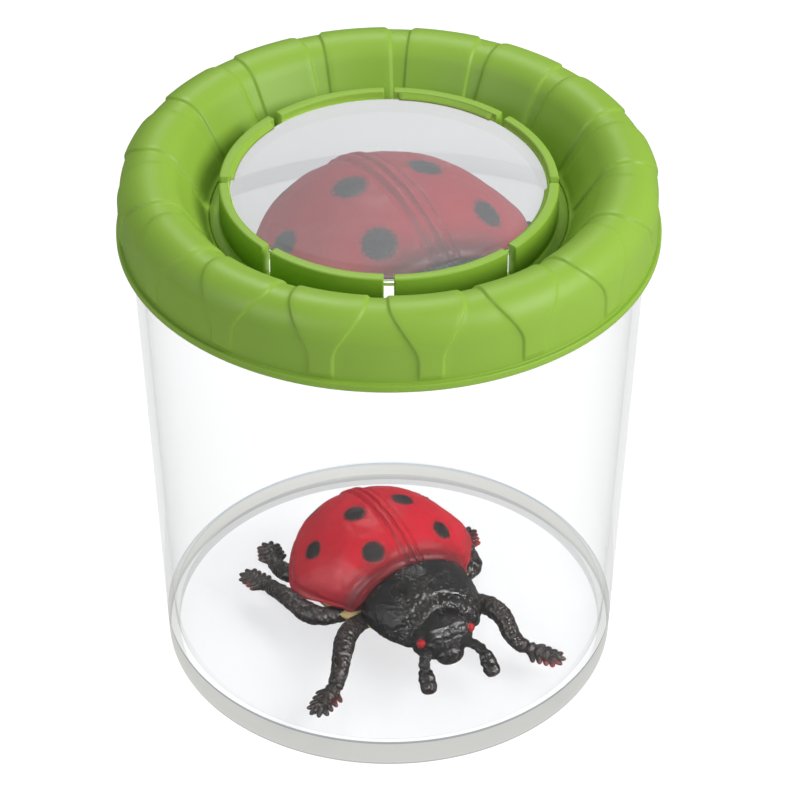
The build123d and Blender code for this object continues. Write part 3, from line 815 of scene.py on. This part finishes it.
def make_pronotum():
    """Saddle plate: oval arcs across a low dome, hollowed for the neck and rolled along its front edge."""
    start = np.arcsin((SHELL_FRONT - PRONOTUM_CENTRE) / PRONOTUM_RADIUS)
    share = np.sin(np.linspace(start, np.pi / 2 - 0.02, 130))
    x = PRONOTUM_CENTRE + PRONOTUM_RADIUS * share
    half_width = 0.96 * PRONOTUM_RADIUS * (1 - np.abs(share) ** 2.5) ** 0.4
    arc = np.radians(np.linspace(0, 180, 150))
    y = half_width[:, None] * np.cos(arc)
    z = PRONOTUM_RISE * half_width[:, None] / PRONOTUM_RADIUS * np.sin(arc)
    place = np.stack([np.repeat(x[:, None], len(arc), axis=1), y, z], axis=-1)
    radii = np.array([PRONOTUM_RADIUS, PRONOTUM_RADIUS, PRONOTUM_RISE])
    normal = (place - [PRONOTUM_CENTRE, 0, 0]) / radii**2
    normal /= np.linalg.norm(normal, axis=-1, keepdims=True)
    from_neck = np.hypot(place[..., 0] - NECK_CENTRE, y) - NECK_RADIUS
    past_limit = (x[:, None] - NECK_LIMIT) / NECK_BLEND
    from_front = -NECK_BLEND * np.logaddexp(-from_neck / NECK_BLEND, past_limit)
    rim = 0.2 * bump(from_front, 0.2, 0.8) - 0.22 * bump(from_front, 1.9, 0.9)
    saddle = -0.3 * bump(y, 0, 5.0) * step(x, 17.5, 22.5)[:, None]
    pebble = 0.22 * np.abs(lumps(place, 0.7, 8)) * (0.25 + 0.75 * step(lumps(place, 4.2, 21), -0.3, 0.1))
    place = place + normal * (rim + saddle + pebble + 0.12 * lumps(place, 4.5, 9))[..., None]
    place[..., 0] += 1.2 * bump(np.abs(y), 8.0, 2.8) * step(x, 17.0, 24.0)[:, None]
    hollow = NECK_CENTRE - np.sqrt(np.maximum(NECK_RADIUS**2 - place[..., 1] ** 2, 0))
    inside = (np.abs(place[..., 1]) < NECK_RADIUS) & (place[..., 0] > hollow)
    place[..., 0] = np.where(inside, hollow, place[..., 0])
    place[..., 2] = np.maximum(place[..., 2], 0) + SHELL_EDGE
    place[..., 0] = np.maximum(place[..., 0], SHELL_FRONT + 0.02)
    place[..., 1] += PRONOTUM_SHIFT
    bottom = place[:, ::-1][:, ::15] * [1, 1, 0] + [0, 0, SHELL_EDGE]
    loop = np.concatenate([place, bottom], axis=1)
    return make_beetle_piece("pronotum", [capped(loop)], black_vinyl)


def make_belly():
    """Underside: ovals that narrow towards the floor, with shallow folds across it."""
    level = np.linspace(0, 1, 14)
    turn = np.linspace(0, 2 * np.pi, 120, endpoint=False)
    tuck = BELLY_TUCK * level**1.6
    x = BELLY_CENTRE + (BELLY_LENGTH - tuck)[:, None] * np.cos(turn)
    y = (BELLY_WIDTH - tuck)[:, None] * np.sin(turn)
    z = np.repeat((SHELL_EDGE - BELLY_DEPTH * level)[:, None], len(turn), axis=1)
    fold = 0.2 * np.sin(x * 2 * np.pi / BELLY_FOLD)
    points = np.stack([x, y * (1 + fold / 40), z], axis=-1)
    return make_beetle_piece("belly", [capped(points)], tan_vinyl)


def ball(centre, radii, power, rows, columns):
    """Rounded block: a sphere's grid with its sines and cosines raised to a power, scaled and placed."""
    up = np.linspace(-np.pi / 2, np.pi / 2, rows)[:, None]
    turn = np.linspace(0, 2 * np.pi, columns, endpoint=False)
    shape = 2.0 / power

    def bent(value):
        return np.sign(value) * np.abs(value) ** shape

    x = bent(np.cos(up)) * bent(np.cos(turn))
    y = bent(np.cos(up)) * bent(np.sin(turn))
    z = bent(np.sin(up)) + 0 * turn
    return np.stack([x, y, z], axis=-1) * np.array(radii) + np.array(centre)


def make_head():
    """Head: a rounded block hollowed along its brow, and a blunt snout under it, with a pebbled skin."""
    skull = ball(SKULL_CENTRE, SKULL_SIZE, 2.7, 70, 120)
    x, y, top = skull[..., 0].copy(), skull[..., 1], skull[..., 2] > SKULL_CENTRE[2]
    skull[..., 2] -= np.where(top, 0.34 * np.maximum(x - 26.4, 0), 0)
    brow = 0.45 * bump(x, 27.6, 0.6) - 0.35 * bump(x, 28.7, 0.6) + 0.3 * bump(x, 29.7, 0.45)
    skull[..., 2] += np.where(top, brow, 0)
    skull[..., 2] -= np.where(top, 0.45 * bump(y, 0, 1.6) * step(x, 26.2, 28.0), 0)
    skull[..., 1] *= 1 - 0.30 * step(x, 27.4, 31.0)
    knobs = 0.05 * lumps(skull, 0.8, 4) * (1 - step(x, 26.4, 27.2)) + 0.012 * lumps(skull, 2.5, 6)
    skull += (skull - SKULL_CENTRE) * knobs[..., None]
    snout = ball(SNOUT_CENTRE, SNOUT_SIZE, 2.3, 36, 60)
    snout += (snout - SNOUT_CENTRE) * (0.015 * lumps(snout, 0.9, 7))[..., None]
    return make_beetle_piece("head", [skull, snout], black_vinyl)


def make_eye(side):
    """Eye: a small ball on the side of the head."""
    centre = np.array(EYE_PLACE) * [1, side, 1]
    grid = ball(centre, (EYE_RADIUS, EYE_RADIUS, EYE_RADIUS), 2.0, 24, 36)
    return make_beetle_piece(f"eye_{side_name(side)}", [grid], eye_red)


CORNER_SHARE = 0.42


def smooth_path(route, count):
    """Even points along a route, with each corner as a quadratic curve over a share of its two runs."""
    route = np.array(route, float)
    share = np.linspace(0, 1, 16)[:, None]
    runs = [route[:1]]
    for before, corner, after in zip(route[:-2], route[1:-1], route[2:]):
        first = corner + CORNER_SHARE * (before - corner)
        last = corner + CORNER_SHARE * (after - corner)
        runs.append((1 - share) ** 2 * first + 2 * share * (1 - share) * corner + share**2 * last)
    line = np.concatenate(runs + [route[-1:]])
    walked = np.concatenate([[0], np.cumsum(np.linalg.norm(np.diff(line, axis=0), axis=1))])
    wanted = np.linspace(0, walked[-1], count)
    return np.stack([np.interp(wanted, walked, line[:, axis]) for axis in range(3)], axis=-1)


def limb(path, radius, flat, sides, seed, roughness):
    """Tube along a path: circles of a changing radius, flattened by a share, with a pebbled skin."""
    ahead = np.gradient(path, axis=0)
    ahead /= np.linalg.norm(ahead, axis=1, keepdims=True)
    across = np.cross(ahead, [0, 0, 1.0])
    across /= np.linalg.norm(across, axis=1, keepdims=True)
    upward = np.cross(across, ahead)
    turn = np.linspace(0, 2 * np.pi, sides, endpoint=False)
    cosine, sine = np.cos(turn)[None, :, None], np.sin(turn)[None, :, None]
    ring = cosine * across[:, None] + sine * upward[:, None] * flat
    skin = path[:, None] + ring * radius[:, None, None]
    rough = 1 + roughness * (0.7 * lumps(skin, 0.5, seed) + 0.35 * lumps(skin, 1.5, seed + 50))
    return capped(path[:, None] + ring * (radius[:, None] * rough)[..., None])


def round_ends(count, share):
    """Radius factors that close a tube's ends in half circles over a share of its length."""
    place = np.linspace(0, 1, count)
    near = np.clip(np.minimum(place, 1 - place) / share, 0.02, 1)
    return np.sqrt(1 - (1 - near) ** 2)


ANTENNA_ROUTES = {
    "left": [(28.4, 3.4, 4.9), (33.0, 5.4, 5.6), (38.1, 5.4, 2.35)],
    "right": [(28.4, -3.8, 4.9), (31.6, -6.8, 5.6), (37.2, -8.0, 2.45)],
}


def make_antenna(side):
    """Antenna: a beaded stalk that ends in a thick club."""
    name = side_name(side)
    path = smooth_path(ANTENNA_ROUTES[name], 80)
    place = np.linspace(0, 1, 80)
    radius = 1.08 + 0.09 * np.cos(place * 2 * np.pi * 7) + 0.5 * step(place, 0.5, 0.68)
    points = limb(path, radius * round_ends(80, 0.08), 0.8, 28, 11, 0.13)
    return make_beetle_piece(f"antenna_{name}", [points], black_vinyl)


# Middle lines of the legs: hip, knee, shin, ankle and tip
LEG_ROUTES = {
    "front_left": [
        (15, 9, 3.4), (24, 13.8, 5.6), (31, 13.6, 2.4), (32.6, 15.6, 1.2), (38.1, 19.6, 0.8),
    ],
    "mid_left": [
        (9.5, 9.5, 2.6), (9.8, 15.8, 4.2), (3.6, 18, 2.2), (0.6, 19.2, 1.2), (-5, 21.8, 0.8),
    ],
    "rear_left": [
        (-6, 9.5, 2.6), (-8.5, 17.2, 3), (-13, 18.4, 1.6), (-14.8, 18, 1.2), (-19.2, 16.4, 0.8),
    ],
    "front_right": [
        (12.5, -8.5, 3.2), (16.4, -15.6, 5.2), (23.6, -20.6, 2.4), (26, -22.8, 1.2), (30.4, -29, 0.8),
    ],
    "mid_right": [
        (9, -9.5, 2.6), (9.4, -18.8, 4.2), (0.5, -20.9, 4.2), (-7, -21.1, 1.2), (-12.6, -23.2, 0.8),
    ],
    "rear_right": [
        (-4.5, -9.5, 2.6), (-6, -16.6, 3), (-10.4, -17.2, 1.6), (-12.8, -16.9, 1.2), (-18.6, -15.6, 0.8),
    ],
}


def make_foot(ankle, tip, seed):
    """Foot on the floor: a knuckled chain from ankle to tip, with pairs of spurs along it and two claws."""
    ankle, tip = np.array(ankle), np.array(tip)
    ahead = (tip - ankle) * [1, 1, 0]
    length = np.linalg.norm(ahead)
    ahead = ahead / length
    aside = np.array([-ahead[1], ahead[0], 0])
    place = np.linspace(0, 1, 56)
    chain = ankle * [1, 1, 0] + np.linspace(-0.12, 0.82, 56)[:, None] * length * ahead
    chain[:, 2] = np.linspace(1.3, 0.8, 56)
    radius = 1.5 - 0.45 * place + 0.2 * np.cos(place * 2 * np.pi * 4)
    patches = [limb(chain, radius * round_ends(56, 0.08), 0.85, 24, seed, 0.15)]
    spurs = [(share, side, SPUR_ANGLE, 3.6 - share) for share in SPUR_PLACES for side in FOOT_SIDES]
    spurs += [(0.76, side, CLAW_ANGLE, CLAW_REACH) for side in FOOT_SIDES]
    for share, side, angle, reach in spurs:
        line = np.cos(np.radians(angle)) * ahead + side * np.sin(np.radians(angle)) * aside
        spur = ankle * [1, 1, 0] + share * length * ahead + np.linspace(0, reach, 12)[:, None] * line
        spur[:, 2] = np.linspace(1.0, 0.6, 12)
        taper = np.linspace(0.95, 0.40, 12) * round_ends(12, 0.2)
        patches.append(limb(spur, taper, 0.9, 12, seed + 7, 0.15))
    return patches


def make_leg(name, route, seed):
    """Leg: a thick pebbled limb, widest about its knee, that ends in a spurred foot."""
    path = smooth_path(route[:4], 140)
    place = np.linspace(0, 1, 140)
    radius = 1.75 + 0.3 * bump(place, 0.45, 0.22) - 0.2 * bump(place, 0.92, 0.1)
    grids = [limb(path, radius * round_ends(140, 0.05), 0.9, 40, seed, 0.13)]
    grids += make_foot(route[3], route[4], seed)
    for points in grids:
        points[..., 2] = np.maximum(points[..., 2], FLOOR_GAP)
    return make_beetle_piece(f"leg_{name}", grids, leg_vinyl)


make_cup()
make_lid_ring()
make_collar()
make_lens()
for side in (1, -1):
    make_wing_case(side)
    make_eye(side)
    make_antenna(side)
make_pronotum()
make_belly()
make_head()
for seed, (name, route) in enumerate(LEG_ROUTES.items()):
    make_leg(name, route, 30 + 2 * seed)


# Stage, light and camera


SHORT_PATH, TRAPPED_SHARE = 3.5, 0.85
FLOOR_GLOW, PASSED_DIMMING, FLOOR_REACH, FLOOR_DROP = 0.86, 0.38, 3.0, 0.0001


def add_seen(tree, path):
    """How far a ray shows the bright surround: 1 from the camera and through glass, less if mirrored."""
    unmirrored = math(tree, "LESS_THAN", path.outputs["Glossy Depth"], 0.5)
    short = math(tree, "LESS_THAN", path.outputs["Ray Depth"], SHORT_PATH)
    straight = math(tree, "MAXIMUM", unmirrored, short)
    through = math(tree, "MULTIPLY", path.outputs["Is Transmission Ray"], straight)
    seen = math(tree, "MAXIMUM", path.outputs["Is Camera Ray"], through)
    trapped = math(tree, "GREATER_THAN", path.outputs["Glossy Depth"], 1.5)
    trapped = math(tree, "MULTIPLY", trapped, TRAPPED_SHARE)
    seen = math(tree, "MAXIMUM", seen, trapped)
    undiffused = math(tree, "LESS_THAN", path.outputs["Diffuse Depth"], 0.5)
    return math(tree, "MULTIPLY", seen, undiffused)


def make_stage():
    """White floor that keeps a soft shadow, and a white surround, both dimmer for passed rays."""
    material, tree, out = new_material("white_floor")
    matte = put(tree, "ShaderNodeBsdfDiffuse")
    path = put(tree, "ShaderNodeLightPath")
    mirrored = math(tree, "GREATER_THAN", path.outputs["Glossy Depth"], 0.5)
    tone = mix_colour(tree, mirrored, (0.85, 0.85, 0.86, 1), (0.24, 0.24, 0.24, 1))
    tree.links.new(tone, matte.inputs["Color"])
    pale = put(tree, "ShaderNodeBsdfDiffuse")
    pale.inputs["Color"].default_value = (0.24, 0.24, 0.24, 1)
    glow = put(tree, "ShaderNodeEmission")
    passed = add_passed(tree, path)
    strength = math(tree, "MULTIPLY_ADD", passed, -PASSED_DIMMING, FLOOR_GLOW)
    tree.links.new(strength, glow.inputs["Strength"])
    both = put(tree, "ShaderNodeAddShader")
    tree.links.new(pale.outputs[0], both.inputs[0])
    tree.links.new(glow.outputs[0], both.inputs[1])
    seen = add_seen(tree, path)
    tree.links.new(mix_shaders(tree, seen, matte, both).outputs[0], out.inputs["Surface"])
    mesh = bpy.data.meshes.new("floor")
    ends = ((-1, -1), (1, -1), (1, 1), (-1, 1))
    corners = [(x * FLOOR_REACH, y * FLOOR_REACH, -FLOOR_DROP) for x, y in ends]
    mesh.from_pydata(corners, [], [(0, 1, 2, 3)])
    mesh.materials.append(material)
    floor = bpy.data.objects.new("floor", mesh)
    bpy.context.scene.collection.objects.link(floor)
    world = bpy.data.worlds.new("white_surround")
    world.use_nodes = True
    tree = world.node_tree
    tree.nodes.clear()
    out = put(tree, "ShaderNodeOutputWorld")
    background = put(tree, "ShaderNodeBackground")
    path = put(tree, "ShaderNodeLightPath")
    mirrored = math(tree, "GREATER_THAN", path.outputs["Glossy Depth"], 0.5)
    unseen = mix_colour(tree, mirrored, (0.35, 0.375, 0.42, 1), (0.16, 0.165, 0.175, 1))
    seen = add_seen(tree, path)
    bright = mix_colour(tree, add_passed(tree, path), (1, 1, 1, 1), (0.62, 0.62, 0.62, 1))
    tree.links.new(mix_colour(tree, seen, unseen, bright), background.inputs["Color"])
    tree.links.new(background.outputs[0], out.inputs["Surface"])
    bpy.context.scene.world = world


def add_softbox(name, place, aim, size, power):
    """Rectangular soft lamp that looks from its place to its aim."""
    lamp = bpy.data.lights.new(name, "AREA")
    lamp.shape = "RECTANGLE"
    lamp.size, lamp.size_y = size
    lamp.energy = power
    holder = bpy.data.objects.new(name, lamp)
    bpy.context.scene.collection.objects.link(holder)
    line = np.array(aim) - np.array(place)
    line = line / np.linalg.norm(line)
    holder.location = place
    holder.rotation_euler = (np.arccos(-line[2]), 0, np.arctan2(line[1], line[0]) - np.pi / 2)
    return holder


make_stage()
add_softbox("key", (0.62, -0.30, 0.58), (0, 0, 0.06), (0.5, 0.5), 6.3)
add_softbox("fill", (-0.75, -0.25, 0.28), (0, 0, 0.08), (0.6, 0.5), 0.8)
add_softbox("back", (-0.05, 0.48, 0.78), (0, 0, 0.06), (0.3, 0.3), 2.6)
sheen = add_softbox("sheen", (-0.55, -0.50, 0.60), (0, 0, 0.03), (0.5, 0.5), 2.2)
sheen.visible_diffuse = False

CAMERA_PITCH, CAMERA_DISTANCE, AIM_HEIGHT = 37.62, 0.7447, 0.05393
camera = bpy.data.objects.new("camera", bpy.data.cameras.new("camera"))
bpy.context.scene.collection.objects.link(camera)
pitch = np.radians(CAMERA_PITCH)
camera.location = (0, -CAMERA_DISTANCE * np.cos(pitch), AIM_HEIGHT + CAMERA_DISTANCE * np.sin(pitch))
camera.rotation_euler = (np.pi / 2 - pitch, 0, 0)
camera.data.sensor_width = 36
camera.data.lens = 176.5
camera.data.shift_x = 0.0139
camera.data.clip_start = 0.01
bpy.context.scene.camera = camera
bpy.context.scene.view_settings.view_transform = "Standard"
